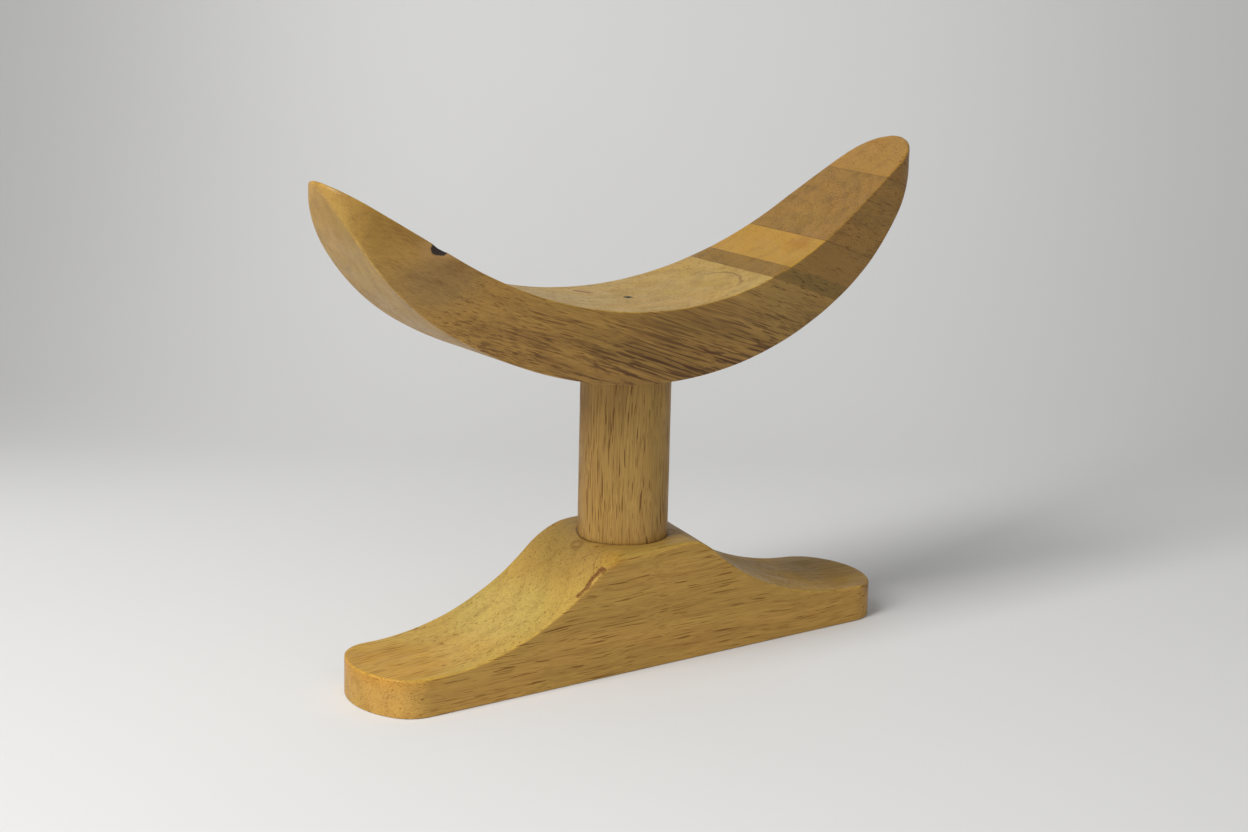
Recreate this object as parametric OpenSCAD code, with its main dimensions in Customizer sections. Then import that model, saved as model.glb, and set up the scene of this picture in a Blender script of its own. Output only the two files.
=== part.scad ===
// Wooden headrest: a crescent cradle glued up from five boards, a round column and a profiled foot.
// The origin is on the column's axis, on the ground. +X runs along the foot, +Z is up.

/* [Heights] */
// Height of the foot's top above the ground, at its back edge
foot_top_z = 54; // [50:0.5:60]
// Fall of the foot's top from its back edge to its front edge
foot_top_fall = 2.5; // [0:0.5:4]
// Height of the crescent's lowest point above the ground
belly_z = 122.5; // [112:0.5:140]
// Thickness of the crescent over the column
cradle_t = 30; // [26:0.5:33]

/* [Foot] */
// Length of the foot
foot_l = 258; // [246:2:280]
// Width of the foot
foot_w = 52; // [46:1:60]
// Thickness of the foot's flat ends
foot_end_t = 16; // [13:1:19]
// Length of the level part of the foot's outline, between the shoulders
foot_top_l = 12; // [8:1:24]
// Radius of the convex shoulder beside it
shoulder_r = 37; // [24:1:42]
// Radius of the concave flank below the shoulder
cove_r = 115; // [100:5:125]
// Angle by which the right shoulder and flank were sawn askew, seen from above
flank_skew = 11.5; // [0:0.5:14]
// Radius of the bowed ends, seen from above
foot_bow_r = 35; // [32:1:60]
// Radius of the corners, seen from above
foot_corner_r = 15; // [10:1:18]

/* [Column] */
// Diameter of the column
column_d = 38; // [32:1:42]
// Depth of the round seat in the foot's top, below the top's front edge
foot_seat = 0.5; // [0.5:0.5:2]
// Depth of the round seat in the crescent's underside, at its lowest point
cradle_seat = 1.5; // [1.5:0.5:3]

/* [Crescent, seen from the front] */
// Radius of the saddle
saddle_r = 183; // [175:1:190]
// Radius of the underside's middle
belly_r = 192; // [186:2:206]
// Half the angle that the middle arc takes
belly_a = 31; // [27:1:33]
// Radius of the underside towards the tips
flank_r = 110; // [104:1:118]
// Angle at which the underside meets the tips
flank_a = 71.2; // [69:0.1:72]
// Radius of the rounded tips
tip_r = 1.2; // [0.8:0.1:2.5]

/* [Crescent, seen from above] */
// Width of the crescent over the column
cradle_w = 61; // [56:1:68]
// Length of the leaf-shaped outline that trims the crescent
leaf_l = 292.4; // [288:0.2:292.4]
// Radius of the leaf's ends
leaf_tip_r = 18.5; // [14:0.5:21]

/* [Glued boards] */
// Angle at which the glue lines fall towards +X
glue_tilt = 20; // [16:1:24]
// Height on the column's axis of the plane that ends the main block
main_top_z = 180; // [176:1:186]
// Thickness of the narrow dark board
dark_t = 6.5; // [4:0.5:9]
// Thickness of the yellow board
yellow_t = 15.5; // [12:0.5:19]
// Thickness of the tan board
tan_t = 35; // [31:0.5:38]

/* [Dowels and holes] */
// Diameter of the hidden dowels
dowel_d = 12; // [8:1:16]
// Depth of a dowel in the column and in the foot
dowel_depth = 24; // [16:1:28]
// Depth of the upper dowel in the crescent
cradle_dowel_depth = 19; // [12:1:20]
// Room for glue round a dowel
glue_gap = 0.1; // [0.05:0.05:0.2]
// Room at each end of a dowel
end_gap = 1; // [0.5:0.5:2]
// Diameter of the small hole that the drill's point left in the saddle
pilot_d = 2; // [1.5:0.5:3]

/* [Hidden] */
$fn = 96;

// Angle between the points of an outline's arcs
arc_step = 2;
// Enough to pass clear through any part
far = 400;
saddle_z = belly_z + cradle_t;
column_foot_z = foot_top_z - foot_top_fall - foot_seat;
column_top_z = belly_z + cradle_seat;

// Points along an arc about centre c with radius r, from angle a0 to angle a1
function arc(c, r, a0, a1) =
    let (n = max(2, ceil(abs(a1 - a0) / arc_step)))
    [for (i = [0:n]) let (a = a0 + (a1 - a0) * i / n) [c[0] + r * cos(a), c[1] + r * sin(a)]];

// The same points mirrored in the vertical axis, in reverse order
function mirrored(points) = [for (i = [len(points) - 1:-1:0]) [-points[i][0], points[i][1]]];

// The same points mirrored in the horizontal axis, in reverse order
function flipped(points) = [for (i = [len(points) - 1:-1:0]) [points[i][0], -points[i][1]]];

// Foot, from the front: a convex shoulder runs smoothly into a concave cove, and on to the end
shoulder_c = [foot_top_l / 2, foot_top_z - shoulder_r];
cove_rise = foot_end_t + cove_r - shoulder_c[1];
cove_run = sqrt(pow(shoulder_r + cove_r, 2) - cove_rise * cove_rise);
cove_c = [shoulder_c[0] + cove_run, foot_end_t + cove_r];
flank_slope = atan2(cove_run, cove_rise);
foot_flank = concat([[-far, 0], [-far, foot_top_z]],
                    arc(shoulder_c, shoulder_r, 90, 90 - flank_slope),
                    arc(cove_c, cove_r, 270 - flank_slope, 270),
                    [[far, foot_end_t], [far, 0]]);
// The right flank turns about this point, which is on the front of the shoulder
skew_at = [shoulder_c[0] + shoulder_r / 2, -foot_w / 2, 0];
top_tilt = atan2(foot_top_fall, foot_w);

// Foot, from above: each end is a wide bow between two tighter corners
bow_x = foot_l / 2 - foot_bow_r;
corner_y = foot_w / 2 - foot_corner_r;
corner_x = bow_x + sqrt(pow(foot_bow_r - foot_corner_r, 2) - corner_y * corner_y);
corner_a = atan2(corner_y, corner_x - bow_x);
foot_corner = concat(arc([bow_x, 0], foot_bow_r, 0, corner_a),
                     arc([corner_x, corner_y], foot_corner_r, corner_a, 90));

// Crescent, from the front: the underside's arcs run smoothly into one another and into the tip
belly_c = [0, belly_z + belly_r];
flank_c = belly_c + (belly_r - flank_r) * [sin(belly_a), -cos(belly_a)];
tip_c = flank_c + (flank_r - tip_r) * [sin(flank_a), -cos(flank_a)];
saddle_c = [0, saddle_z + saddle_r];
tip_far = norm(tip_c - saddle_c);
wing_normal = atan2(tip_c[1] - saddle_c[1], tip_c[0]) - acos((saddle_r + tip_r) / tip_far);
wing_dir = [cos(wing_normal), sin(wing_normal)];
// The wing's straight top starts a little above the saddle's arc, so that the two cross cleanly
wing_lift = 0.5;
wing_start = saddle_c + (saddle_r - wing_lift) * wing_dir;
cradle_half = concat(arc(belly_c, belly_r, -90, -90 + belly_a),
                     arc(flank_c, flank_r, -90 + belly_a, -90 + flank_a),
                     arc(tip_c, tip_r, -90 + flank_a, wing_normal + 180),
                     [wing_start]);

// Crescent, from above: a leaf, wide in the middle, with round ends
leaf_tip_x = leaf_l / 2 - leaf_tip_r;
leaf_side_r = (pow(leaf_tip_x, 2) - pow(leaf_tip_r, 2) + pow(cradle_w / 2, 2)) / (cradle_w - 2 * leaf_tip_r);
leaf_a = atan2(leaf_side_r - cradle_w / 2, leaf_tip_x);
leaf_quarter = concat(arc([leaf_tip_x, 0], leaf_tip_r, 0, leaf_a),
                      arc([0, cradle_w / 2 - leaf_side_r], leaf_side_r, leaf_a, 90));

// Extrudes a front outline along Y, centred
module along_y(width) {
    rotate([90, 0, 0]) linear_extrude(width, center = true) children();
}

// Stands one quarter of a plan outline up as a full prism
module plan_prism(quarter, height) {
    half = concat(quarter, mirrored(quarter));
    linear_extrude(height) polygon(concat(half, flipped(half)));
}

// A hole for a dowel, glue gap included, from z = low up to z = high
module dowel_hole(low, high) {
    translate([0, 0, low]) cylinder(h = high - low, d = dowel_d + 2 * glue_gap);
}

// The whole crescent before it is divided into boards
module crescent() {
    difference() {
        intersection() {
            along_y(far) polygon(concat(cradle_half, mirrored(cradle_half)));
            plan_prism(leaf_quarter, far);
        }
        translate([0, 0, saddle_c[1]]) rotate([90, 0, 0])
            cylinder(h = far, r = saddle_r, center = true, $fn = 360);
    }
}

// The part of the crescent between two glue planes, at distances from the main block's plane
module board(low, high) {
    intersection() {
        crescent();
        translate([0, 0, main_top_z]) rotate([0, glue_tilt, 0]) translate([-far, -far / 2, low])
            cube([2 * far, far, high - low]);
    }
}

// Everything below the foot's right shoulder and flank
module right_flank() {
    translate(skew_at) rotate([0, 0, -flank_skew]) translate(-skew_at)
        along_y(2 * far) polygon(foot_flank);
}

module foot() {
    color([0.70, 0.53, 0.27]) difference() {
        intersection() {
            plan_prism(foot_corner, far);
            along_y(far) polygon(mirrored(foot_flank));
            right_flank();
            // The top slopes down to the front
            translate([-far, foot_w / 2, foot_top_z]) rotate([top_tilt, 0, 0])
                translate([0, -far, -far]) cube([2 * far, 2 * far, far]);
        }
        translate([0, 0, column_foot_z]) cylinder(h = far, d = column_d);
        dowel_hole(column_foot_z - dowel_depth - end_gap, far);
    }
}

module column() {
    color([0.72, 0.56, 0.33]) difference() {
        translate([0, 0, column_foot_z]) cylinder(h = column_top_z - column_foot_z, d = column_d);
        dowel_hole(-far, column_foot_z + dowel_depth + end_gap);
        dowel_hole(column_top_z - dowel_depth - end_gap, far);
    }
}

module cradle_main() {
    color([0.66, 0.50, 0.27]) difference() {
        board(-far, 0);
        cylinder(h = column_top_z, d = column_d);
        dowel_hole(0, column_top_z + cradle_dowel_depth + end_gap);
        cylinder(h = far, d = pilot_d);
    }
}

module cradle_dark_board() {
    color([0.48, 0.36, 0.19]) board(0, dark_t);
}

module cradle_yellow_board() {
    color([0.78, 0.58, 0.26]) board(dark_t, dark_t + yellow_t);
}

module cradle_tan_board() {
    color([0.66, 0.49, 0.26]) board(dark_t + yellow_t, dark_t + yellow_t + tan_t);
}

module cradle_tip_board() {
    color([0.74, 0.54, 0.26]) board(dark_t + yellow_t + tan_t, far);
}

// A plain dowel from z = low up to z = high
module dowel(low, high) {
    color([0.80, 0.68, 0.48]) translate([0, 0, low]) cylinder(h = high - low, d = dowel_d);
}

module foot_dowel() {
    dowel(column_foot_z - dowel_depth, column_foot_z + dowel_depth);
}

module cradle_dowel() {
    dowel(column_top_z - dowel_depth, column_top_z + cradle_dowel_depth);
}

foot();
column();
cradle_main();
cradle_dark_board();
cradle_yellow_board();
cradle_tan_board();
cradle_tip_board();
foot_dowel();
cradle_dowel();
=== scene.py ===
"""Looks of the wooden headrest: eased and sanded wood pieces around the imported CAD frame.

Lengths are in millimetres, and make() turns a mesh into metres. The camera, the backdrop and the
lights at the end are in metres. The origin is on the column's axis, on the ground, with +X along the
foot and +Z up, as in the CAD.
"""

import math

import bmesh
import bpy
from mathutils import Matrix, Vector, noise


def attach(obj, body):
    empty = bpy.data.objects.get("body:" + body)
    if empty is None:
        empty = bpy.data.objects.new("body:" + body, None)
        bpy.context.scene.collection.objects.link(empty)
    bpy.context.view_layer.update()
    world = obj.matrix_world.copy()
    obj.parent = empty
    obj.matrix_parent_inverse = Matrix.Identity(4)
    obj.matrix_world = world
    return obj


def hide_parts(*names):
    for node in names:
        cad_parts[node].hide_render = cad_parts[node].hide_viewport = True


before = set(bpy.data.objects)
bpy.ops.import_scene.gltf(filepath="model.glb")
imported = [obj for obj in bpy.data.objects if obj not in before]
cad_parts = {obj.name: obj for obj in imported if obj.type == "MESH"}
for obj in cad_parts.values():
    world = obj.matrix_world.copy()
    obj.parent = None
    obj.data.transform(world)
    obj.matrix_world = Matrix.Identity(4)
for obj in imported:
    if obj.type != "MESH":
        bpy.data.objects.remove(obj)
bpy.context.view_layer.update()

MM = 0.001

# ---- Sizes, the same as the CAD's ----

# The foot
FOOT_TOP_Z = 54
FOOT_TOP_FALL = 2.5
FOOT_L = 258
FOOT_W = 52
FOOT_END_T = 16
FOOT_TOP_L = 12
SHOULDER_R = 37
COVE_R = 115
FLANK_SKEW = math.radians(11.5)
FOOT_BOW_R = 35
FOOT_CORNER_R = 15

# The crescent, seen from the front
BELLY_Z = 122.5
CRADLE_T = 30
SADDLE_Z = BELLY_Z + CRADLE_T
SADDLE_R = 183
BELLY_R = 192
BELLY_A = math.radians(31)
FLANK_R = 110
FLANK_A = math.radians(71.2)
TIP_R = 1.2

# The crescent, seen from above
CRADLE_W = 61
LEAF_L = 292.4
LEAF_TIP_R = 18.5

# The column and its seats
COLUMN_D = 38
FOOT_SEAT = 0.5
CRADLE_SEAT = 1.5
COLUMN_FOOT_Z = FOOT_TOP_Z - FOOT_TOP_FALL - FOOT_SEAT
COLUMN_TOP_Z = BELLY_Z + CRADLE_SEAT

# The glue planes: the main block's plane, and how far above it each joint lies
GLUE_TILT = math.radians(20)
GLUE_POINT = Vector((0, 0, 180))
GLUE_NORMAL = Vector((math.sin(GLUE_TILT), 0, math.cos(GLUE_TILT)))
DARK_T = 6.5
YELLOW_T = 15.5
TAN_T = 35
GLUE_OFFSETS = (0, DARK_T, DARK_T + YELLOW_T, DARK_T + YELLOW_T + TAN_T)

# The hidden dowels, their holes, and the hole that the drill's point left
DOWEL_D = 12
GLUE_GAP = 0.1
HOLE_D = DOWEL_D + 2 * GLUE_GAP
DOWEL_DEPTH = 24
CRADLE_DOWEL_DEPTH = 19
END_GAP = 1
PILOT_D = 2

# ---- Outlines worked out from the sizes ----


def on_arc(centre, radius, x, side):
    """Height at x of the upper (side 1) or lower (side -1) half of a circle."""
    return centre[1] + side * math.sqrt(max(0.0, radius ** 2 - (x - centre[0]) ** 2))


shoulder_c = (FOOT_TOP_L / 2, FOOT_TOP_Z - SHOULDER_R)
cove_rise = FOOT_END_T + COVE_R - shoulder_c[1]
cove_run = math.sqrt((SHOULDER_R + COVE_R) ** 2 - cove_rise ** 2)
cove_c = (shoulder_c[0] + cove_run, FOOT_END_T + COVE_R)
cove_start_x = shoulder_c[0] + SHOULDER_R * cove_run / (SHOULDER_R + COVE_R)
skew_x = shoulder_c[0] + SHOULDER_R / 2


def flank(x):
    """Height of the foot's outline, seen from the front, at x to the right of the middle."""
    if x <= shoulder_c[0]:
        return FOOT_TOP_Z
    if x <= cove_start_x:
        return on_arc(shoulder_c, SHOULDER_R, x, 1)
    if x <= cove_c[0]:
        return on_arc(cove_c, COVE_R, x, -1)
    return FOOT_END_T


# How far apart two heights of the foot's top may be and still be blended, in millimetres
TOP_BLEND = 1.5


def soft_min(a, b, blend):
    """The smaller of two heights, rounded where they are within blend of each other."""
    share = max(0.0, blend - abs(a - b)) / blend
    return min(a, b) - share * share * blend / 4


def foot_top(x, y):
    """The left flank, the right flank, which is askew, and the top, which falls to the front."""
    askew = (skew_x + (x - skew_x) * math.cos(FLANK_SKEW)
             - (y + FOOT_W / 2) * math.sin(FLANK_SKEW))
    level = FOOT_TOP_Z - FOOT_TOP_FALL * (0.5 - y / FOOT_W)
    return soft_min(min(flank(-x), flank(askew)), level, TOP_BLEND)


def foot_bottom(x, y):
    """The foot stands flat on the ground."""
    return 0.0


bow_x = FOOT_L / 2 - FOOT_BOW_R
corner_y = FOOT_W / 2 - FOOT_CORNER_R
corner_x = bow_x + math.sqrt((FOOT_BOW_R - FOOT_CORNER_R) ** 2 - corner_y ** 2)
corner_a = math.atan2(corner_y, corner_x - bow_x)

belly_c = Vector((0, BELLY_Z + BELLY_R))
flank_c = belly_c + (BELLY_R - FLANK_R) * Vector((math.sin(BELLY_A), -math.cos(BELLY_A)))
tip_c = flank_c + (FLANK_R - TIP_R) * Vector((math.sin(FLANK_A), -math.cos(FLANK_A)))
saddle_c = Vector((0, SADDLE_Z + SADDLE_R))
wing_a = (math.atan2(tip_c[1] - saddle_c[1], tip_c[0])
          - math.acos((SADDLE_R + TIP_R) / (tip_c - saddle_c).length))
wing_x = SADDLE_R * math.cos(wing_a)
wing_z = saddle_c[1] + SADDLE_R * math.sin(wing_a)
wing_slope = math.tan(wing_a + math.pi / 2)
flank_x = BELLY_R * math.sin(BELLY_A)
tip_top_x = tip_c[0] - TIP_R * math.cos(wing_a)


def cradle_top(x, y):
    """The saddle's arc, the wing's straight top, and the rounded tip."""
    x = abs(x)
    if x <= wing_x:
        return on_arc(saddle_c, SADDLE_R, x, -1)
    if x <= tip_top_x:
        return wing_z + (x - wing_x) * wing_slope
    return on_arc(tip_c, TIP_R, x, 1)


def cradle_bottom(x, y):
    """The underside's middle arc, and the tighter one towards the tip."""
    x = abs(x)
    if x <= flank_x:
        return on_arc(belly_c, BELLY_R, x, -1)
    return on_arc(flank_c, FLANK_R, x, -1)


leaf_tip_x = LEAF_L / 2 - LEAF_TIP_R
leaf_side_r = (leaf_tip_x ** 2 - LEAF_TIP_R ** 2 + (CRADLE_W / 2) ** 2) / (CRADLE_W - 2 * LEAF_TIP_R)
leaf_a = math.atan2(leaf_side_r - CRADLE_W / 2, leaf_tip_x)


def arc_stations(centre, radius, a0, a1, step):
    """(x, y, normal x, normal y) along a plan arc from angle a0 to a1."""
    count = max(2, math.ceil(abs(a1 - a0) * radius / step))
    found = []
    for i in range(count + 1):
        a = a0 + (a1 - a0) * i / count
        n = Vector((math.cos(a), math.sin(a)))
        found.append((centre[0] + radius * n[0], centre[1] + radius * n[1], n[0], n[1]))
    return found


def both_ends(quarter):
    """Stations from the -X tip to the +X tip, given those from the +X tip to the middle."""
    left = [(-x, y, -nx, ny) for x, y, nx, ny in quarter]
    return left + quarter[-2::-1]


def foot_stations(step):
    """The foot's plan outline: bowed ends, rounded corners and straight sides."""
    ends = arc_stations((bow_x, 0), FOOT_BOW_R, 0, corner_a, step)
    ends += arc_stations((corner_x, corner_y), FOOT_CORNER_R, corner_a, math.pi / 2, step)[1:]
    count = math.ceil(corner_x / step)
    ends += [(corner_x * (1 - i / count), FOOT_W / 2, 0.0, 1.0) for i in range(1, count + 1)]
    return both_ends(ends)


def leaf_stations(step):
    """The crescent's plan outline: round tips and bowed sides."""
    ends = arc_stations((leaf_tip_x, 0), LEAF_TIP_R, 0, leaf_a, step)
    ends += arc_stations((0, CRADLE_W / 2 - leaf_side_r), leaf_side_r, leaf_a, math.pi / 2, step)[1:]
    return both_ends(ends)


# ---- Meshes ----

# Steps round an eased edge: of a slab, and of a turned piece
EASE_STEPS = 6
TURNED_EASE_STEPS = 4
# Sides of a turned piece
BORE_SIDES = 96
COLUMN_SIDES = 128
DOWEL_SIDES = 144
# Faces that meet at more than this are shaded as a sharp arris
ARRIS_ANGLE = math.radians(38)
# Heights at which the cutters end, clear of the foot's top and of the crescent
FOOT_CUTTER_TOP = 80
CRADLE_CUTTER_BOTTOM = 60
CRADLE_CUTTER_TOP = 180


def section(station, side, surfaces, eases, rows):
    """Half of a slab's cross-section: over the top from y = 0, down the wall and back underneath.

    side is 1 for the +Y half and -1 for the -Y half, and surfaces and eases are for the top and the
    underside. Each point is (x, y, z, edge share). The edge share is most in the middle of an eased
    edge: 1, or less where the edge is eased to more than 1 mm. It sets where the arrises are painted
    paler, partly for the rubbing that they get and partly as a painted highlight.
    """
    x, y, nx, ny = station
    points = []
    for surface, ease, sign in zip(surfaces, eases, (1, -1)):
        face = []
        ix, iy = x - nx * ease, max(0.0, y - ny * ease)
        for i in range(rows + 1):
            py = side * iy * i / rows
            face.append((ix, py, surface(ix, py), 0.0))
        for i in range(1, EASE_STEPS + 1):
            a = math.pi / 2 * i / EASE_STEPS
            px = ix + nx * ease * math.sin(a)
            py = side * min(y, iy + ny * ease * math.sin(a))
            pz = surface(px, py) - sign * ease * (1 - math.cos(a))
            face.append((px, py, pz, math.sin(2 * a) * min(1.0, 1.0 / ease)))
        points.append(face)
    upper, lower = points[0], points[1][::-1]
    walls = max(2, rows // 2)
    z0, z1 = upper[-1][2], lower[0][2]
    wall = [(x, side * y, z0 + (z1 - z0) * i / walls, 0.0) for i in range(1, walls)]
    return upper + wall + lower


def slab(stations, top, bottom, top_ease, bottom_ease, rows):
    """A closed slab with a plan outline, heights for its top and underside, and eased edges."""
    bm = bmesh.new()
    # the share of each point that the arrises' rubbing and painted highlight cover
    wear_and_highlight = bm.verts.layers.float.new("wear_and_highlight")
    grid = []
    for station in stations:
        halves = []
        for side in (-1, 1):
            eases = (top_ease(station[0], side), bottom_ease(station[0]))
            halves.append(section(station, side, (top, bottom), eases, rows))
        loop = halves[1] + halves[0][-2:0:-1]
        grid.append([bm.verts.new(p[:3]) for p in loop])
        for v, p in zip(grid[-1], loop):
            v[wear_and_highlight] = p[3]
    for left, right in zip(grid, grid[1:]):
        for i in range(len(left)):
            j = (i + 1) % len(left)
            bm.faces.new((left[i], left[j], right[j], right[i]))
    bmesh.ops.remove_doubles(bm, verts=bm.verts, dist=0.002)
    bmesh.ops.dissolve_degenerate(bm, dist=0.0005, edges=bm.edges)
    bmesh.ops.recalc_face_normals(bm, faces=bm.faces)
    return bm


def press_in(bm, depth):
    """Moves each vertex inwards by depth(point), in millimetres, so that nothing grows."""
    bm.normal_update()
    moves = [(v, v.normal * depth(v.co)) for v in bm.verts]
    for v, move in moves:
        v.co -= move


def sanding(point, seed):
    """The slight unevenness that hand sanding leaves, from 0 to about 0.15 mm."""
    wide = noise.noise(point * 0.035 + Vector((seed, 0, 0)))
    fine = noise.noise(point * 0.14 + Vector((0, seed, 0)))
    return 0.08 + 0.06 * wide + 0.02 * fine


def between_planes(bm, low, high):
    """Keeps what lies between two glue planes, given as heights along their normal."""
    for offset, inner in ((low, True), (high, False)):
        if offset is None:
            continue
        geometry = bm.verts[:] + bm.edges[:] + bm.faces[:]
        bmesh.ops.bisect_plane(bm, geom=geometry, plane_co=GLUE_POINT + GLUE_NORMAL * offset,
                               plane_no=GLUE_NORMAL, clear_inner=inner, clear_outer=not inner)
        rim = [e for e in bm.edges if e.is_boundary]
        bmesh.ops.holes_fill(bm, edges=rim, sides=0)
    bmesh.ops.recalc_face_normals(bm, faces=bm.faces)
    return bm


def lathe(profile, sides, depth=None):
    """A closed turned solid about the column's axis.

    profile is (radius, height) from axis to axis, and depth(angle, height) is taken off the radius.
    """
    bm = bmesh.new()
    rings = []
    for radius, height in profile:
        if radius == 0:
            rings.append([bm.verts.new((0, 0, height))] * sides)
            continue
        ring = []
        for i in range(sides):
            a = 2 * math.pi * i / sides
            r = radius - (depth(a, height) if depth else 0)
            ring.append(bm.verts.new((r * math.cos(a), r * math.sin(a), height)))
        rings.append(ring)
    for low, high in zip(rings, rings[1:]):
        for i in range(sides):
            j = (i + 1) % sides
            corners = dict.fromkeys((low[i], low[j], high[j], high[i]))
            if len(corners) > 2:
                bm.faces.new(corners)
    bmesh.ops.recalc_face_normals(bm, faces=bm.faces)
    return bm


def eased(radius, z, ease, upwards):
    """Profile points that round an end's edge, from the end face to the wall or back."""
    points = []
    for i in range(TURNED_EASE_STEPS + 1):
        a = math.pi / 2 * i / TURNED_EASE_STEPS
        drop = ease * (1 - math.cos(a))
        points.append((radius - ease + ease * math.sin(a), z - drop if upwards else z + drop))
    return points[::-1] if upwards else points


def make(name, bm):
    """Turns a mesh in millimetres into an object in metres with smooth faces and crisp arrises."""
    bmesh.ops.scale(bm, vec=(MM, MM, MM), verts=bm.verts)
    mesh = bpy.data.meshes.new(name)
    bm.to_mesh(mesh)
    bm.free()
    mesh.polygons.foreach_set("use_smooth", [True] * len(mesh.polygons))
    mesh.set_sharp_from_angle(angle=ARRIS_ANGLE)
    piece = bpy.data.objects.new(name, mesh)
    bpy.context.scene.collection.objects.link(piece)
    return piece


def bore(piece, profile):
    """Cuts a turned shape out of a piece, exactly."""
    cutter = make(piece.name + "_cutter", lathe(profile, BORE_SIDES))
    modifier = piece.modifiers.new("bore", "BOOLEAN")
    modifier.operation = "DIFFERENCE"
    modifier.solver = "EXACT"
    modifier.object = cutter
    graph = bpy.context.evaluated_depsgraph_get()
    cut = bpy.data.meshes.new_from_object(piece.evaluated_get(graph))
    piece.modifiers.clear()
    piece.data = cut
    cut.set_sharp_from_angle(angle=ARRIS_ANGLE)
    bpy.data.objects.remove(cutter)


# ---- Materials ----

FIBRE_CRADLE = (0, GLUE_TILT, 0)
FIBRE_FOOT = (0, 0, 0)
FIBRE_COLUMN = (0, -math.pi / 2, 0)

# What pores and glue lines multiply the wood's red, green and blue by
INK = (0.4, 0.3, 0.2)
# Length and width of the longer dark lines, in millimetres
LINE_LENGTH = 45
LINE_WIDTH = 0.9
# How strongly the broad patches show
PATCHES = 0.5
# How much of the pores a calm place hides
CALM = 0.7
# How far apart along the fibres two woods' patterns lie, so that no two look alike
SEED_STEP = 131.7
# Depth of the open grain, in metres
GRAIN_DEPTH = 0.00022
OIL_IOR = 1.46
# Every wood by its slot's name
WOODS = {}


class Nodes:
    """Short ways to add shader nodes. Values go in as numbers, vectors or sockets."""

    def __init__(self, name):
        self.material = bpy.data.materials.new(name)
        self.material.use_nodes = True
        self.tree = self.material.node_tree
        self.tree.nodes.clear()

    def put(self, socket, value):
        if isinstance(value, bpy.types.NodeSocket):
            self.tree.links.new(value, socket)
        elif value is not None:
            socket.default_value = value

    def node(self, kind, inputs=(), **settings):
        made = self.tree.nodes.new(kind)
        for key, value in settings.items():
            setattr(made, key, value)
        for key, value in dict(inputs).items():
            self.put(made.inputs[key], value)
        return made

    def math(self, operation, a, b=None, clamp=False):
        made = self.node("ShaderNodeMath", {0: a, 1: b}, operation=operation, use_clamp=clamp)
        return made.outputs[0]

    def vector(self, operation, a, b=None, output=0):
        return self.node("ShaderNodeVectorMath", {0: a, 1: b}, operation=operation).outputs[output]

    def turned(self, point, angles):
        return self.node("ShaderNodeVectorRotate", {"Vector": point, "Rotation": angles},
                         rotation_type="EULER_XYZ").outputs[0]

    def noise(self, point, detail=2.0, roughness=0.5):
        inputs = {"Vector": point, "Scale": 1.0, "Detail": detail, "Roughness": roughness}
        return self.node("ShaderNodeTexNoise", inputs).outputs["Fac"]

    def fibrous(self, grain, along, across, detail=2.0, roughness=0.5):
        """Noise drawn out along the fibres. along and across are how often it changes in 1 mm."""
        return self.noise(self.vector("MULTIPLY", grain, (along, across, across)), detail, roughness)

    def step(self, value, low, high, to_low=0.0, to_high=1.0):
        """to_low up to low, to_high from high on, and a smooth change between them."""
        inputs = {"Value": value, "From Min": low, "From Max": high, "To Min": to_low,
                  "To Max": to_high}
        return self.node("ShaderNodeMapRange", inputs, interpolation_type="SMOOTHSTEP").outputs[0]

    def mix(self, factor, a, b, blend="MIX"):
        made = self.node("ShaderNodeMix", data_type="RGBA", blend_type=blend)
        self.put(made.inputs[0], factor)
        self.put(made.inputs[6], a)
        self.put(made.inputs[7], b)
        return made.outputs[2]

    def tint(self, mask, colour, factors):
        """Multiplies the colour's red, green and blue by factors, as far as mask says."""
        return self.mix(mask, colour, self.mix(1.0, colour, (*factors, 1), "MULTIPLY"))

    def paint(self, mask, colour, cover):
        """Lays a plain linear colour over another, as far as mask says."""
        return self.mix(mask, colour, (*cover, 1))


def spot(nodes, point, centre, size, low=0.7, high=1.1, strength=1.0):
    """strength inside an ellipsoid of half-sizes size about centre, and 0 outside it.

    It falls off from low to high, which are shares of the half-sizes.
    """
    offset = nodes.vector("SUBTRACT", point, centre)
    scaled = nodes.vector("DIVIDE", offset, size)
    distance = nodes.vector("LENGTH", scaled, output=1)
    return nodes.step(distance, low, high, strength, 0.0)


def wandering(nodes, along, sway):
    """How far the fibres wander to the side, slowly, along their length."""
    slow = nodes.vector("MULTIPLY", along, (0.014, 0.03, 0.03))
    drift = nodes.node("ShaderNodeTexNoise", {"Vector": slow, "Scale": 1.0, "Detail": 1.5})
    shift = nodes.vector("SUBTRACT", drift.outputs["Color"], (0.5, 0.5, 0.5))
    return nodes.vector("MULTIPLY", shift, (0, sway, sway))


def growth_rings(nodes, from_pith, ring_gap):
    """A slow rise from 0 to 1 and a quick fall, once in every ring."""
    radial = nodes.vector("MULTIPLY", from_pith, (0, 1, 1))
    turns = nodes.math("DIVIDE", nodes.vector("LENGTH", radial, output=1), ring_gap)
    phase = nodes.math("FRACT", turns)
    return nodes.math("MULTIPLY", nodes.step(phase, 0.45, 0.94), nodes.step(phase, 0.94, 1.0, 1.0, 0.0))


def long_streaks(nodes, grain):
    """Wide, fine and thin streaks along the fibres, laid over each other."""
    wide = nodes.step(nodes.fibrous(grain, 0.011, 0.2, 4.0, 0.62), 0.45, 0.68)
    fine = nodes.step(nodes.fibrous(grain, 0.03, 1.3, 3.0, 0.7), 0.42, 0.64)
    thin = nodes.step(nodes.fibrous(grain, 0.05, 3.4, 2.0, 0.6), 0.46, 0.64)
    streak = nodes.math("ADD", nodes.math("MULTIPLY", wide, 0.45), nodes.math("MULTIPLY", fine, 0.4))
    return nodes.math("ADD", streak, nodes.math("MULTIPLY", thin, 0.3))


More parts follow.
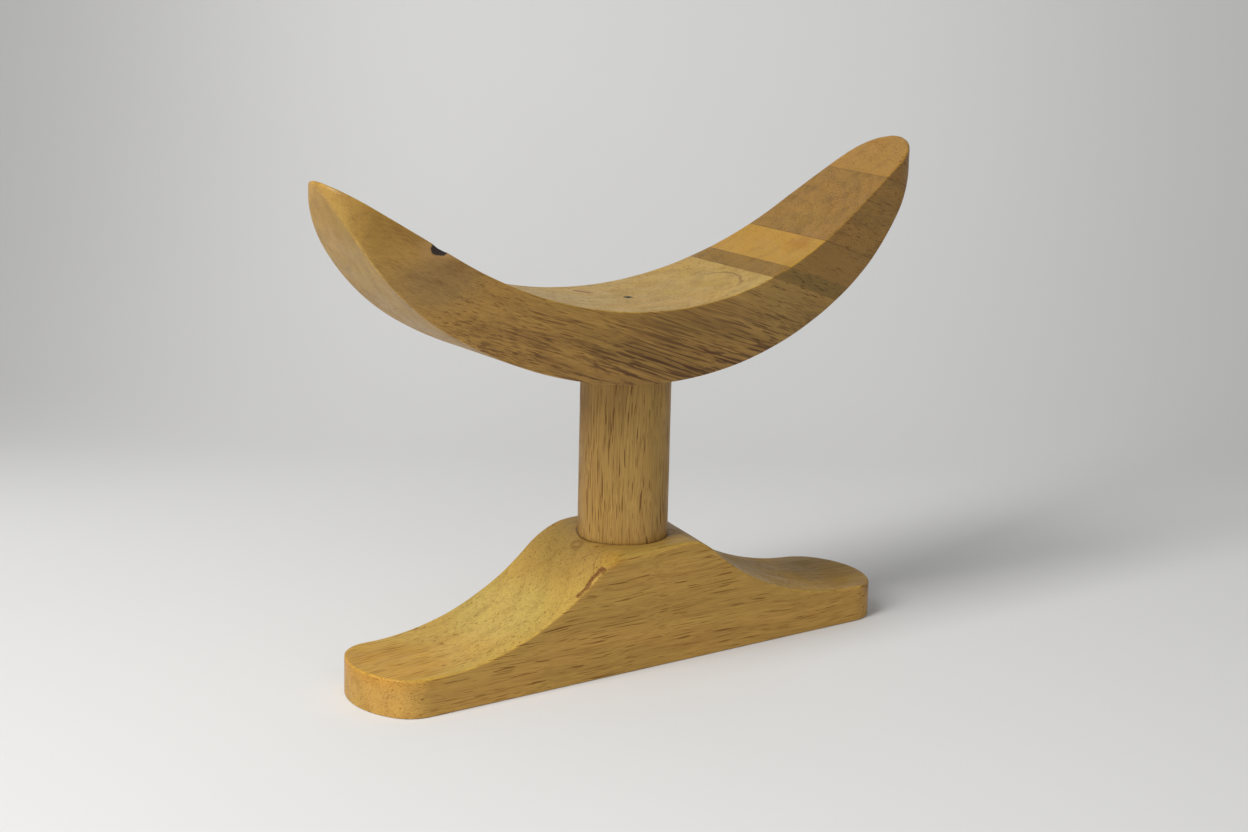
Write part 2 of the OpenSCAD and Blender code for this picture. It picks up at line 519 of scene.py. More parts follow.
def dark_pores(nodes, grain, pore_size, pores, lines):
    """Thin dark dashes in loose crowds, fine hairs, and longer lines where several pores join."""
    length, width = pore_size
    dash = nodes.fibrous(grain, 1 / length, 1 / width, 1.0)
    crowd = nodes.fibrous(grain, 0.03, 0.2, 3.0)
    pore = nodes.math("MULTIPLY", nodes.step(dash, 0.6, 0.68), nodes.step(crowd, 0.36, 0.54, 0.25, 1.0))
    hair = nodes.math("MULTIPLY", nodes.step(nodes.fibrous(grain, 0.05, 3.0, 3.0, 0.65), 0.52, 0.64), 0.4)
    line = nodes.fibrous(grain, 1 / LINE_LENGTH, 1 / LINE_WIDTH, 1.0)
    line = nodes.math("MULTIPLY", nodes.step(line, 0.69, 0.75), lines)
    ink = nodes.math("MULTIPLY", nodes.math("MAXIMUM", pore, hair), pores)
    return nodes.math("MAXIMUM", ink, line, clamp=True)


def glue_seams(nodes, point, colour, glue):
    """Fine dark hairs beside the joints. glue holds each joint's number and how dark it is."""
    reach = nodes.vector("DOT_PRODUCT", nodes.vector("SUBTRACT", point, GLUE_POINT), GLUE_NORMAL, 1)
    for joint, strength in glue:
        gap = nodes.math("ABSOLUTE", nodes.math("SUBTRACT", reach, GLUE_OFFSETS[joint]))
        colour = nodes.tint(nodes.step(gap, 0.12, 0.4, strength, 0.0), colour, INK)
    return colour


def facing(nodes, direction, low, high):
    """1 where the surface faces a direction, and 0 where it faces well away from it."""
    normal = nodes.node("ShaderNodeNewGeometry").outputs["Normal"]
    return nodes.step(nodes.vector("DOT_PRODUCT", normal, direction, 1), low, high)


def oiled_surface(nodes, point, grain, colour, height, ink, specular):
    """The surface: rubbed arrises with a painted highlight, a cloudy shine, duller pores and the feel of
    the grain.
    """
    # hands and sandpaper leave the arrises smoother; they are also painted a little paler and more
    # golden, partly as real wear and partly as a painted highlight along the rounded arrises
    edge_wear_and_highlight = nodes.node("ShaderNodeAttribute", attribute_name="wear_and_highlight").outputs["Fac"]
    patchy_wear_and_highlight = nodes.noise(nodes.vector("MULTIPLY", point, (0.45, 0.45, 0.45)), 3.0, 0.6)
    edge_wear_and_highlight = nodes.math("MULTIPLY", edge_wear_and_highlight, nodes.step(patchy_wear_and_highlight, 0.42, 0.6, 0.05, 0.7))
    colour = nodes.tint(edge_wear_and_highlight, colour, (1.25, 1.24, 1.05))

    cloud = nodes.noise(nodes.vector("MULTIPLY", point, (0.09, 0.09, 0.09)), 3.0)
    roughness = nodes.step(cloud, 0.3, 0.7, 0.4, 0.52)
    roughness = nodes.math("ADD", roughness, nodes.math("MULTIPLY", ink, 0.2))
    roughness = nodes.math("SUBTRACT", roughness, nodes.math("MULTIPLY", edge_wear_and_highlight, 0.06))
    grit = nodes.fibrous(grain, 0.5, 2.5, 4.0, 0.7)
    height = nodes.math("ADD", height, nodes.math("MULTIPLY", grit, 0.35))
    bump = nodes.node("ShaderNodeBump", {"Height": height, "Strength": 0.5, "Distance": GRAIN_DEPTH})
    surface = nodes.node("ShaderNodeBsdfPrincipled",
                         {"Base Color": colour, "Roughness": roughness, "Normal": bump.outputs[0],
                          "IOR": OIL_IOR, "Specular IOR Level": specular})
    output = nodes.node("ShaderNodeOutputMaterial")
    nodes.put(output.inputs["Surface"], surface.outputs[0])


def wood(name, fibre, light, dark, pith, seed, sway=8, streaks=0.5, pores=0.8, pore_size=(16, 0.55),
         lines=0.8, rings=0.12, ring_gap=9.0, top=(1, 1, 1), underside_sheen=(1, 1, 1), specular=0.5,
         glue=(), calm=None, marks=None):
    """Adds a wood to WOODS. Its fibres run along X turned by fibre, and its rings lie about pith.

    light and dark are its two tones. sway is how far the fibres wander, in millimetres, and
    pore_size is a pore's length and width. streaks, pores, lines and rings are how strongly each of
    them shows. top tints what faces up, as painted light and painted reflection from above, and the
    underside tint gives what faces left and down a painted pale sheen. calm is the centre and
    half-sizes of a place where the pores hardly show, and marks adds what only this piece has.
    """
    nodes = Nodes(name)
    coordinates = nodes.node("ShaderNodeTexCoord").outputs["Object"]
    point = nodes.vector("MULTIPLY", coordinates, (1 / MM, 1 / MM, 1 / MM))
    from_pith = nodes.turned(nodes.vector("SUBTRACT", point, pith), [-a for a in fibre])
    along = nodes.vector("ADD", from_pith, (seed * SEED_STEP, 0, 0))
    wander = wandering(nodes, along, sway)
    grain = nodes.vector("ADD", along, wander)

    ring = growth_rings(nodes, nodes.vector("ADD", from_pith, wander), ring_gap)
    ring = nodes.math("MULTIPLY", ring, rings)
    streak = nodes.math("MULTIPLY", long_streaks(nodes, grain), streaks)
    tone = nodes.math("ADD", streak, ring, clamp=True)
    colour = nodes.mix(tone, (*light, 1), (*dark, 1))

    # broad patches where the wood is greener or redder
    broad = nodes.step(nodes.fibrous(along, 0.012, 0.05), 0.35, 0.65)
    patch = nodes.mix(broad, (0.93, 0.95, 0.88, 1), (1.06, 0.99, 0.98, 1))
    colour = nodes.mix(PATCHES, colour, nodes.mix(1.0, colour, patch, "MULTIPLY"))

    # painted light: upward faces are tinted for the light and reflections that they get from above, and
    # what faces left and down, as the left wing's underside does, is tinted paler as a painted sheen
    colour = nodes.tint(facing(nodes, (0, 0, 1), 0.35, 0.75), colour, top)
    colour = nodes.tint(facing(nodes, (-0.82, 0, -0.57), 0.3, 0.66), colour, underside_sheen)

    ink = dark_pores(nodes, grain, pore_size, pores, lines)
    if calm:
        quiet = spot(nodes, point, *calm, strength=CALM)
        ink = nodes.math("MULTIPLY", ink, nodes.math("SUBTRACT", 1.0, quiet))
    colour = nodes.tint(ink, colour, INK)
    colour = glue_seams(nodes, point, colour, glue)
    height = nodes.math("MULTIPLY", ink, -1.0)
    if marks:
        colour, height = marks(nodes, point, grain, colour, height)
    oiled_surface(nodes, point, grain, colour, height, ink, specular)
    WOODS[name] = nodes.material


def linear(red, green, blue):
    """Linear light values of an sRGB colour given from 0 to 255."""
    return tuple(((v / 255 + 0.055) / 1.055) ** 2.4 for v in (red, green, blue))


def capsule(nodes, point, start, end, radius, softness=0.4):
    """1 along the line from start to end, falling through 0.5 at radius from it to 0.

    softness is how far to each side of radius the fall reaches, as a share of it.
    """
    start, span = Vector(start), Vector(end) - Vector(start)
    offset = nodes.vector("SUBTRACT", point, start)
    share = nodes.vector("DOT_PRODUCT", offset, span / span.length_squared, 1)
    share = nodes.math("MINIMUM", nodes.math("MAXIMUM", share, 0.0), 1.0)
    scaled = nodes.node("ShaderNodeVectorMath", {0: span, "Scale": share}, operation="SCALE").outputs[0]
    distance = nodes.vector("LENGTH", nodes.vector("SUBTRACT", offset, scaled), output=1)
    return nodes.step(distance, radius * (1 - softness), radius * (1 + softness), 1.0, 0.0)


def shaken(nodes, point, size, reach):
    """The point moved about by noise, so that a mark drawn on it gets an uneven edge."""
    scaled = nodes.vector("MULTIPLY", point, (1 / size, 1 / size, 1 / size))
    drift = nodes.node("ShaderNodeTexNoise", {"Vector": scaled, "Scale": 1.0, "Detail": 2.0})
    shift = nodes.vector("SUBTRACT", drift.outputs["Color"], (0.5, 0.5, 0.5))
    return nodes.vector("ADD", point, nodes.vector("MULTIPLY", shift, (reach, reach, reach)))


# The black knot: its place, and the size of the hollow that it left as it shrank
KNOT = Vector((-104.9, -22.5, 185.0))
KNOT_R = 3.4
KNOT_DEPTH = 0.5


def heartwood(nodes, point, grain, colour):
    """Dark streaks, strongest low in the middle of the front and weaker along the left wing."""
    where = spot(nodes, point, (16, -34, 131), (98, 26, 26), 0.4, 1.1)
    for centre, size, strength in (((-66, -26, 146), (56, 20, 14), 0.7),
                                   ((-94, -24, 172), (34, 20, 13), 0.15)):
        weaker = spot(nodes, point, centre, size, 0.3, 1.1, strength)
        where = nodes.math("MAXIMUM", where, weaker)
    bands = nodes.step(nodes.fibrous(grain, 0.01, 0.3, 4.0, 0.6), 0.44, 0.62, 0.0, 0.32)
    threads = nodes.step(nodes.fibrous(grain, 0.014, 1.1, 2.0, 0.55), 0.52, 0.57, 0.0, 0.7)
    streaks = nodes.math("MULTIPLY", nodes.math("ADD", bands, threads), where)
    return nodes.paint(streaks, colour, linear(84, 50, 13))


def black_knot(nodes, uneven, colour, height):
    """The knot on the left wing, in a paler halo. It is a little sunken."""
    halo = spot(nodes, uneven, KNOT, (12, 14, 7), 0.4, 1.0, 0.35)
    colour = nodes.paint(halo, colour, linear(176, 138, 88))
    knot = spot(nodes, uneven, KNOT, (4, 8, 3.4), 0.8, 1.0)
    return nodes.paint(knot, colour, linear(46, 34, 28)), nodes.math("SUBTRACT", height, knot)


def saddle_marks(nodes, point, uneven, colour):
    """A short dash, the hole of the drill's point, and a growth ring that shows as an open curve."""
    dash = capsule(nodes, point, (-12, 20.4, 152.9), (-8.8, 14.2, 152.7), 1.2)
    colour = nodes.paint(dash, colour, linear(112, 60, 26))
    # painted shade: the hole's inside is painted dark, and the wood for about 1 mm round it is painted as
    # dark
    hole = capsule(nodes, point, (0, 0, 140), (0, 0, 160), 2.0, 0.2)
    colour = nodes.paint(hole, colour, linear(30, 18, 8))
    offset = nodes.vector("DIVIDE", nodes.vector("SUBTRACT", uneven, (27, -8, 156)), (22, 17, 60))
    curve = nodes.math("SUBTRACT", nodes.vector("LENGTH", offset, output=1), 1.0)
    curve = nodes.step(nodes.math("ABSOLUTE", curve), 0.02, 0.05, 0.65, 0.0)
    along_x = nodes.vector("DOT_PRODUCT", point, (1, 0, 0), 1)
    curve = nodes.math("MULTIPLY", curve, nodes.step(along_x, 38, 44))
    return nodes.paint(curve, colour, linear(118, 88, 40))


def cradle_marks(nodes, point, grain, colour, height):
    """What shows on the crescent's main block, from the front to the saddle."""
    uneven = shaken(nodes, point, 4, 3)
    colour = heartwood(nodes, point, grain, colour)
    # a paler patch under the saddle's front edge
    pale = spot(nodes, uneven, (-42, -28, 153), (34, 14, 7), 0.3, 1.1)
    colour = nodes.tint(pale, colour, (1.12, 1.12, 1.1))
    # the left tip is deeper in colour and the wing below it greyer
    tip = spot(nodes, point, (-130, -12, 203), (37, 30, 25), 0.4, 1.1)
    colour = nodes.tint(tip, colour, (0.84, 0.8, 0.56))
    wing = spot(nodes, uneven, (-106, -22, 172), (24, 14, 14), 0.3, 1.1)
    colour = nodes.tint(wing, colour, (0.78, 0.82, 1.05))
    # the front beside the dark board is paler
    beside = spot(nodes, uneven, (52, -28, 149), (38, 14, 18), 0.4, 1.1)
    colour = nodes.tint(beside, colour, (1.1, 1.13, 1.28))
    colour, height = black_knot(nodes, uneven, colour, height)
    return saddle_marks(nodes, point, uneven, colour), height


def yellow_marks(nodes, point, grain, colour, height):
    """A soft brown stain near the yellow board's front edge."""
    stain = spot(nodes, shaken(nodes, point, 5, 5), (79, -14.6, 170.6), (8, 7, 7), 0.2, 1.1, 0.8)
    return nodes.tint(stain, colour, (0.78, 0.68, 0.5)), height


def tan_marks(nodes, point, grain, colour, height):
    """Small reddish pin knots along the tan board's front arris, and a paler fan of grain behind."""
    uneven = shaken(nodes, point, 2, 1.6)
    knots = 0.0
    for centre, size in (((112, -17, 184), (2, 2.4, 2)), ((104, -17.5, 178), (1.4, 1.4, 1.4)),
                         ((121, -15.5, 189), (1.6, 1.6, 1.6))):
        knots = nodes.math("MAXIMUM", knots, spot(nodes, uneven, centre, size, 0.4, 1.1, 0.6))
    colour = nodes.paint(knots, colour, linear(112, 66, 28))
    pale = spot(nodes, shaken(nodes, point, 9, 8), (100, 4, 178), (14, 12, 9), 0.2, 1.1)
    return nodes.tint(pale, colour, (1.08, 1.1, 1.06)), height


def tip_marks(nodes, point, grain, colour, height):
    """Fine reddish flecks in the tip board."""
    flecks = nodes.step(nodes.fibrous(grain, 0.35, 0.9), 0.6, 0.68, 0.0, 0.35)
    return nodes.paint(flecks, colour, linear(142, 84, 40)), height


def column_marks(nodes, point, grain, colour, height):
    """The column's lower edge gets a painted contact shadow where it meets the foot."""
    seam_z = FOOT_TOP_Z - FOOT_TOP_FALL
    up = nodes.vector("DOT_PRODUCT", point, (0, 0, 1), 1)
    # painted contact shadow in the 1.2 mm above the seam
    low = nodes.step(up, seam_z - 0.1, seam_z + 1.2, 0.45, 0.0)
    return nodes.tint(low, colour, (0.45, 0.34, 0.25)), height


# Where the bark pocket runs, down over the foot's front shoulder edge
POCKET_PATH = ((-28.2, -24.6, 46.6), (-32, -23.6, 43.4), (-35.9, -24.9, 40.2), (-39.6, -24.6, 37.6))
# The small knot between the left flank and the column
SMALL_KNOT = (-22.7, 0.8, 50)


def bark_pocket(nodes, point, uneven):
    """1 in the reddish pocket, and less where it flakes."""
    pocket = spot(nodes, uneven, POCKET_PATH[0], (1.9, 2.4, 1.7))
    for start, end in zip(POCKET_PATH, POCKET_PATH[1:]):
        pocket = nodes.math("MAXIMUM", pocket, capsule(nodes, uneven, start, end, 1.15))
    flakes = nodes.noise(nodes.vector("MULTIPLY", point, (1.4, 1.4, 1.4)), 3.0, 0.7)
    return nodes.math("MULTIPLY", pocket, nodes.step(flakes, 0.36, 0.54, 0.4, 1.0))


def top_shade_and_tone(nodes, point, colour):
    """The oiled top gets painted shade: it is darker on the +X side, where the crescent's shadow falls,
    and beside the column. It is golder on the left toe.
    """
    # painted shade, which stops just behind the sawn front, so that the front stays paler
    behind = nodes.step(nodes.vector("DOT_PRODUCT", point, (0, 1, 0), 1), -25.8, -24.6)
    # painted shadow of the crescent over the +X side, painted shade round the column, and painted shade
    # on the +X end's top
    for centre, size, low, high, factors in (
            ((84, 0, 24), (66, 40, 30), 0.55, 1.0, (0.9, 0.75, 0.11)),
            ((2, 4, 50), (64, 46, 28), 0.5, 1.0, (0.8, 0.78, 0.84)),
            ((114, -2, 16), (22, 34, 9), 0.5, 1.1, (0.78, 0.8, 1.3))):
        painted_shade = nodes.math("MULTIPLY", spot(nodes, point, centre, size, low, high), behind)
        colour = nodes.tint(painted_shade, colour, factors)
    toe = spot(nodes, point, (-114, 0, 17), (24, 34, 9), 0.5, 1.1)
    colour = nodes.tint(toe, colour, (1, 0.87, 0.58))
    cove = spot(nodes, point, (-60, 4, 28), (28, 32, 18), 0.4, 1.1)
    return nodes.tint(cove, colour, (1, 1.12, 1.3))


def foot_marks(nodes, point, grain, colour, height):
    """The bark pocket, a small knot beside the column, the top's painted shade and tone, and painted
    shade in the joint round the column.
    """
    uneven = shaken(nodes, point, 2.5, 1.6)
    pocket = bark_pocket(nodes, point, uneven)
    colour = nodes.paint(nodes.math("MULTIPLY", pocket, 0.9), colour, linear(102, 54, 16))
    amber = spot(nodes, uneven, (-22.5, -23, 49.2), (7.5, 6, 5), 0.5, 1.0)
    colour = nodes.tint(amber, colour, (0.98, 0.9, 0.72))
    # a ring of darker wood round the small knot, and a fold from it to the pocket
    rough = shaken(nodes, point, 3.2, 2.4)
    knot = spot(nodes, rough, SMALL_KNOT, (3.8, 4.4, 4.4), 0.5, 1.0)
    ring = nodes.math("SUBTRACT", knot, spot(nodes, rough, SMALL_KNOT, (2.2, 2.6, 3), 0.3, 1.1))
    colour = nodes.paint(nodes.math("MULTIPLY", ring, 0.5), colour, linear(126, 78, 26))
    fold = capsule(nodes, uneven, (-26.3, -17.2, 47.9), (-31, -22.6, 44.2), 0.35)
    colour = nodes.paint(nodes.math("MULTIPLY", fold, 0.45), colour, linear(140, 92, 34))
    colour = top_shade_and_tone(nodes, point, colour)
    # painted shade: a dark ring on the foot round the column, where shade falls in the joint
    around = nodes.vector("LENGTH", nodes.vector("MULTIPLY", point, (1, 1, 0)), output=1)
    joint = nodes.step(around, COLUMN_D / 2 + 0.2, COLUMN_D / 2 + 0.9, 0.75, 0.0)
    colour = nodes.tint(joint, colour, (0.3, 0.2, 0.12))
    return colour, nodes.math("SUBTRACT", height, pocket)


wood("foot_wood", FIBRE_FOOT, linear(196, 155, 79), linear(144, 103, 46), (0, 90, -60), 1,
     lines=1.0, top=(0.96, 1.06, 0.98), specular=0.22, marks=foot_marks)
wood("column_wood", FIBRE_COLUMN, linear(180, 143, 74), linear(126, 88, 38), (60, 20, 0), 2,
     pores=1.0, pore_size=(13, 0.55), lines=0.9, specular=0.4, marks=column_marks)
wood("main_wood", FIBRE_CRADLE, linear(170, 132, 63), linear(112, 76, 28), (-23, 11, 154), 3,
     sway=4, top=(1.17, 1.3, 1.32), underside_sheen=(1.18, 1.28, 1.66), glue=((0, 0.2),),
     calm=((-122, -10, 192), (52, 40, 36)), marks=cradle_marks)
wood("dark_wood", FIBRE_CRADLE, linear(148, 118, 58), linear(96, 70, 30), (20, -70, 150), 4,
     top=(0.9, 0.8, 0.36), specular=0.4, glue=((0, 0.2), (1, 0.2)))
wood("yellow_wood", FIBRE_CRADLE, linear(161, 122, 62), linear(130, 92, 42), (20, 60, 210), 5,
     pores=0.4, lines=0.6, top=(1.2, 1.2, 0.57), specular=0.4, glue=((2, 0.5),), marks=yellow_marks)
wood("tan_wood", FIBRE_CRADLE, linear(168, 128, 64), linear(118, 86, 38), (20, 14, 190), 6,
     streaks=0.7, lines=0.7, rings=0.18, ring_gap=6, top=(0.78, 0.76, 0.58), specular=0.4,
     glue=((2, 0.5), (3, 0.4)), marks=tan_marks)
wood("tip_wood", FIBRE_CRADLE, linear(162, 124, 60), linear(120, 82, 34), (20, 60, 260), 7,
     lines=0.7, top=(1.03, 1.0, 0.8), specular=0.4, glue=((3, 0.4),), marks=tip_marks)
wood("dowel_wood", FIBRE_COLUMN, linear(222, 196, 150), linear(190, 156, 104), (30, 12, 0), 8,
     pores=0.3)


def finish_piece(piece, node, slot):
    """Gives a piece its wood, hangs it under the root body and hides the CAD node that it replaces."""
    piece.data.materials.clear()
    piece.data.materials.append(WOODS[slot])
    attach(piece, "root")
    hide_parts(node)


# ---- The foot ----

# Radii to which the foot's edges are eased, in millimetres
FOOT_TOP_EASE = 1.0
FOOT_UNDER_EASE = 0.8
# The front edge is rounded over more than that on each side of ROUND_OVER_X
ROUND_OVER = 2.6
ROUND_OVER_X = -12
ROUND_OVER_REACH = 20


def foot_edge(x, side):
    """The front edge is sanded well round beside the column, and every edge is eased elsewhere."""
    round_over = 0.0
    if side < 0:
        round_over = ROUND_OVER * math.exp(-((x - ROUND_OVER_X) / ROUND_OVER_REACH) ** 2)
    return FOOT_TOP_EASE + round_over + 0.25 * noise.noise(Vector((x * 0.08, 3, 0)))


def foot_under(x):
    return FOOT_UNDER_EASE


def foot_press(point):
    """Sanding, except on the underside, which stays flat on the ground."""
    return sanding(point, 1.0) if point.z > 0.5 else 0.0


foot_bm = slab(foot_stations(step=1.6), foot_top, foot_bottom, foot_edge, foot_under, rows=16)
press_in(foot_bm, foot_press)
foot = make("foot_body", foot_bm)
hole_end_z = COLUMN_FOOT_Z - DOWEL_DEPTH - END_GAP
bore(foot, [(0, hole_end_z), (HOLE_D / 2, hole_end_z), (HOLE_D / 2, COLUMN_FOOT_Z),
            (COLUMN_D / 2, COLUMN_FOOT_Z), (COLUMN_D / 2, FOOT_CUTTER_TOP), (0, FOOT_CUTTER_TOP)])
finish_piece(foot, "foot", "foot_wood")

# ---- The column ----

COLUMN_FOOT_EASE = 0.9
COLUMN_TOP_EASE = 0.5
RING_GAP = 2
COLUMN_RINGS = 35


def column_flats(angle, z):
    """The column isn't quite round: it is up to 0.15 mm flat in places."""
    ring = Vector((math.cos(angle), math.sin(angle), z * 0.03))
    return 0.07 + 0.07 * noise.noise(ring * 1.4)


column_hole = DOWEL_DEPTH + END_GAP
bottom_hole = ((0, COLUMN_FOOT_Z + column_hole), (HOLE_D / 2, COLUMN_FOOT_Z + column_hole),
               (HOLE_D / 2, COLUMN_FOOT_Z))
top_hole = ((HOLE_D / 2, COLUMN_TOP_Z), (HOLE_D / 2, COLUMN_TOP_Z - column_hole),
            (0, COLUMN_TOP_Z - column_hole))
# the wall has many rings of points, so that the flats show along it
column_wall = [(COLUMN_D / 2, COLUMN_FOOT_Z + 1 + RING_GAP * i) for i in range(1, COLUMN_RINGS + 1)]
column_profile = [*bottom_hole, *eased(COLUMN_D / 2, COLUMN_FOOT_Z, COLUMN_FOOT_EASE, False),
                  *column_wall, *eased(COLUMN_D / 2, COLUMN_TOP_Z, COLUMN_TOP_EASE, True), *top_hole]
column = make("column_body", lathe(column_profile, COLUMN_SIDES, column_flats))
finish_piece(column, "column", "column_wood")

# ---- The crescent's five boards ----

# The tips are worn over their last stretch, in millimetres
WORN_FROM_X = 118
WORN_LENGTH = 28
# Radius to which the arrises are eased between the tips
CRADLE_EASE = 0.7


def near_tip(x):
    """0 along the crescent, rising smoothly to 1 at a tip."""
    share = min(1.0, max(0.0, (abs(x) - WORN_FROM_X) / WORN_LENGTH))
    return share * share * (3 - 2 * share)


def cradle_thickness(x):
    return cradle_top(x, 0) - cradle_bottom(x, 0)


def cradle_edge(x, side):
    """The arrises are eased, more so towards the tips, as far as the thin tips allow."""
    ease = CRADLE_EASE + 0.2 * noise.noise(Vector((x * 0.1, 0, 5))) + 1.3 * near_tip(x)
    return min(ease, 0.5 * cradle_thickness(x))


def cradle_under(x):
    """The lower arrises are eased less, since hands don't reach them."""
    ease = CRADLE_EASE + 0.2 * noise.noise(Vector((x * 0.1, 9, 5))) + 0.6 * near_tip(x)
    return min(ease, 0.35 * cradle_thickness(x))


def cradle_press(point):
    """Sanding, and the hollow where the knot has shrunk."""
    out = (point - KNOT).length / KNOT_R
    dent = KNOT_DEPTH * (1 - out ** 2) if out < 1 else 0.0
    return sanding(point, 4.0) + dent


cradle_bm = slab(leaf_stations(step=1.3), cradle_top, cradle_bottom, cradle_edge, cradle_under, rows=20)
press_in(cradle_bm, cradle_press)
BOARDS = (
    ("main_block", "cradle_main", "main_wood", None, GLUE_OFFSETS[0]),
    ("dark_board", "cradle_dark_board", "dark_wood", GLUE_OFFSETS[0], GLUE_OFFSETS[1]),
    ("yellow_board", "cradle_yellow_board", "yellow_wood", GLUE_OFFSETS[1], GLUE_OFFSETS[2]),
    ("tan_board", "cradle_tan_board", "tan_wood", GLUE_OFFSETS[2], GLUE_OFFSETS[3]),
    ("tip_board", "cradle_tip_board", "tip_wood", GLUE_OFFSETS[3], None),
)
for name, node, slot, low, high in BOARDS:
    board = make(name, between_planes(cradle_bm.copy(), low, high))
    if node == "cradle_main":
        hole_end_z = COLUMN_TOP_Z + CRADLE_DOWEL_DEPTH + END_GAP
        bore(board, [(0, CRADLE_CUTTER_BOTTOM), (COLUMN_D / 2, CRADLE_CUTTER_BOTTOM),
                     (COLUMN_D / 2, COLUMN_TOP_Z), (HOLE_D / 2, COLUMN_TOP_Z),
                     (HOLE_D / 2, hole_end_z), (PILOT_D / 2, hole_end_z),
                     (PILOT_D / 2, CRADLE_CUTTER_TOP), (0, CRADLE_CUTTER_TOP)])
    finish_piece(board, node, slot)
cradle_bm.free()

# ---- The hidden dowels ----

DOWEL_CHAMFER = 1.2
DOWEL_RINGS = 12
FLUTES = 24
FLUTE_DEPTH = 0.25


def flutes(angle, z):
    """Fine grooves along a dowel that let the glue spread."""
    return FLUTE_DEPTH * (0.5 + 0.5 * math.cos(FLUTES * angle)) ** 3


def dowel(name, node, low, high):
    """A fluted dowel with chamfered ends, from z = low up to z = high."""
    rim_r = DOWEL_D / 2 - DOWEL_CHAMFER
    wall_h = high - low - 2 * DOWEL_CHAMFER
    wall = [(DOWEL_D / 2, low + DOWEL_CHAMFER + wall_h * i / DOWEL_RINGS) for i in range(DOWEL_RINGS + 1)]
    profile = [(0, low), (rim_r, low), *wall, (rim_r, high), (0, high)]
    finish_piece(make(name, lathe(profile, DOWEL_SIDES, flutes)), node, "dowel_wood")


dowel("foot_pin", "foot_dowel", COLUMN_FOOT_Z - DOWEL_DEPTH, COLUMN_FOOT_Z + DOWEL_DEPTH)
dowel("cradle_pin", "cradle_dowel", COLUMN_TOP_Z - DOWEL_DEPTH, COLUMN_TOP_Z + CRADLE_DOWEL_DEPTH)

# ---- Camera ----

# From here on, lengths are in metres
CAMERA_AT = Vector((-0.59476, -0.80267, 0.34845))
YAW = math.radians(36.513)
PITCH = math.radians(13.853)
ROLL = math.radians(1.362)
LENS = 71.39

camera = bpy.data.objects.new("camera", bpy.data.cameras.new("camera"))
camera.data.sensor_width = 36
camera.data.lens = LENS
camera.matrix_world = (Matrix.Translation(CAMERA_AT) @ Matrix.Rotation(-YAW, 4, "Z")
                       @ Matrix.Rotation(math.pi / 2 - PITCH, 4, "X") @ Matrix.Rotation(ROLL, 4, "Z"))
bpy.context.scene.collection.objects.link(camera)
bpy.context.scene.camera = camera

# ---- Floor and backdrop: one pale sheet that curves up behind the object ----

FLOOR_REACH = 2.5
SWEEP_START = 0.32
SWEEP_R = 0.5
SWEEP_STEPS = 32
WALL_STEP = 0.1
FLAT_STEPS = 20
SHEET_ACROSS = (-3, -1.5, 0, 1.5, 3)
away = Vector((math.sin(YAW), math.cos(YAW), 0))
rightward = Vector((math.cos(YAW), -math.sin(YAW), 0))


def backdrop():
    """A floor that sweeps up into a wall, across the line of sight."""
    floor_step = (FLOOR_REACH + SWEEP_START) / FLAT_STEPS
    profile = [(-FLOOR_REACH + i * floor_step, 0.0) for i in range(FLAT_STEPS + 1)]
    for i in range(1, SWEEP_STEPS + 1):
        a = math.pi / 2 * i / SWEEP_STEPS
        profile.append((SWEEP_START + SWEEP_R * math.sin(a), SWEEP_R * (1 - math.cos(a))))
    profile += [(SWEEP_START + SWEEP_R, SWEEP_R + WALL_STEP * i) for i in range(1, FLAT_STEPS + 1)]
    bm = bmesh.new()
    rows = []
    for distance, height in profile:
        centre = away * distance + Vector((0, 0, height))
        rows.append([bm.verts.new(centre + rightward * across) for across in SHEET_ACROSS])
    for low, high in zip(rows, rows[1:]):
        for i in range(len(SHEET_ACROSS) - 1):
            bm.faces.new((low[i], low[i + 1], high[i + 1], high[i]))
    mesh = bpy.data.meshes.new("backdrop")
    bm.to_mesh(mesh)
    bm.free()
    mesh.polygons.foreach_set("use_smooth", [True] * len(mesh.polygons))
    sheet = bpy.data.objects.new("backdrop", mesh)
    bpy.context.scene.collection.objects.link(sheet)
    return sheet


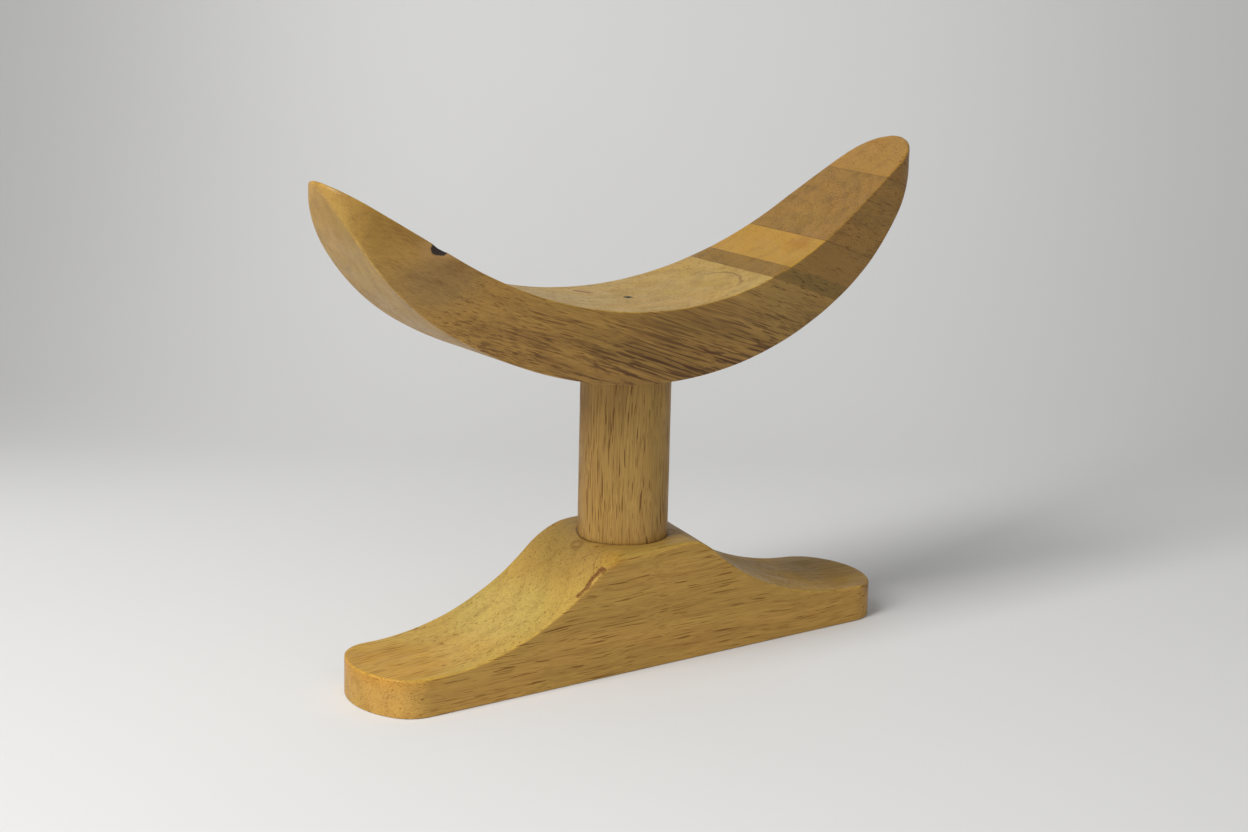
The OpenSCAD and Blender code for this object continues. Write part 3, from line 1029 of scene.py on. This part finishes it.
def backdrop_paper():
    """Pale matt paper, with painted shade that makes it darker towards both sides beyond the object.

    It is one-sided: it can be looked through from behind and from below.
    """
    nodes = Nodes("backdrop_paper")
    place = nodes.node("ShaderNodeTexCoord").outputs["Object"]
    mottle = nodes.noise(nodes.vector("MULTIPLY", place, (3, 3, 3)), 2.0)
    colour = nodes.mix(mottle, (0.68, 0.68, 0.685, 1), (0.71, 0.71, 0.71, 1))
    beyond = nodes.step(nodes.vector("DOT_PRODUCT", place, away, 1), 0.12, 0.44)
    sideways = nodes.vector("DOT_PRODUCT", place, rightward, 1)
    fall = nodes.math("MULTIPLY", nodes.step(sideways, -0.5, -0.1, 0.58, 0.94),
                      nodes.step(sideways, 0.1, 0.5, 1.0, 0.82))
    shade = nodes.math("MULTIPLY", nodes.math("SUBTRACT", fall, 1.0), beyond)
    shade = nodes.math("ADD", shade, 1.0)
    colour = nodes.node("ShaderNodeVectorMath", {0: colour, "Scale": shade}, operation="SCALE").outputs[0]
    matt = nodes.node("ShaderNodeBsdfPrincipled",
                      {"Base Color": colour, "Roughness": 0.9, "Specular IOR Level": 0.1})
    reverse = nodes.node("ShaderNodeNewGeometry").outputs["Backfacing"]
    clear = nodes.node("ShaderNodeBsdfTransparent").outputs[0]
    surface = nodes.node("ShaderNodeMixShader", {0: reverse, 1: matt.outputs[0], 2: clear})
    output = nodes.node("ShaderNodeOutputMaterial")
    nodes.put(output.inputs["Surface"], surface.outputs[0])
    return nodes.material


floor = backdrop()
floor.data.materials.append(backdrop_paper())

# ---- Soft light ----

LIT_POINT = Vector((0, 0, 0.1))


def softbox(name, direction, distance, width, height, watts, colour=(1, 1, 1)):
    """A rectangular light that shines on the object from a direction and a distance."""
    light = bpy.data.lights.new(name, "AREA")
    light.shape = "RECTANGLE"
    light.size = width
    light.size_y = height
    light.energy = watts
    light.color = colour
    lamp = bpy.data.objects.new(name, light)
    out = Vector(direction).normalized()
    lamp.location = LIT_POINT + out * distance
    lamp.rotation_mode = "QUATERNION"
    lamp.rotation_quaternion = out.to_track_quat("Z", "Y")
    bpy.context.scene.collection.objects.link(lamp)


softbox("key", (-0.713, -0.095, 0.695), distance=1.6, width=0.66, height=1.1, watts=29,
        colour=(1, 0.99, 0.96))
softbox("fill", (-0.3, -0.9, 0.35), distance=2.2, width=1.6, height=1.6, watts=8)

world = bpy.data.worlds.new("studio")
world.use_nodes = True
world.node_tree.nodes["Background"].inputs["Color"].default_value = (0.95, 0.97, 1.0, 1)
world.node_tree.nodes["Background"].inputs["Strength"].default_value = 0.22
bpy.context.scene.world = world
bpy.context.scene.view_settings.view_transform = "Standard"
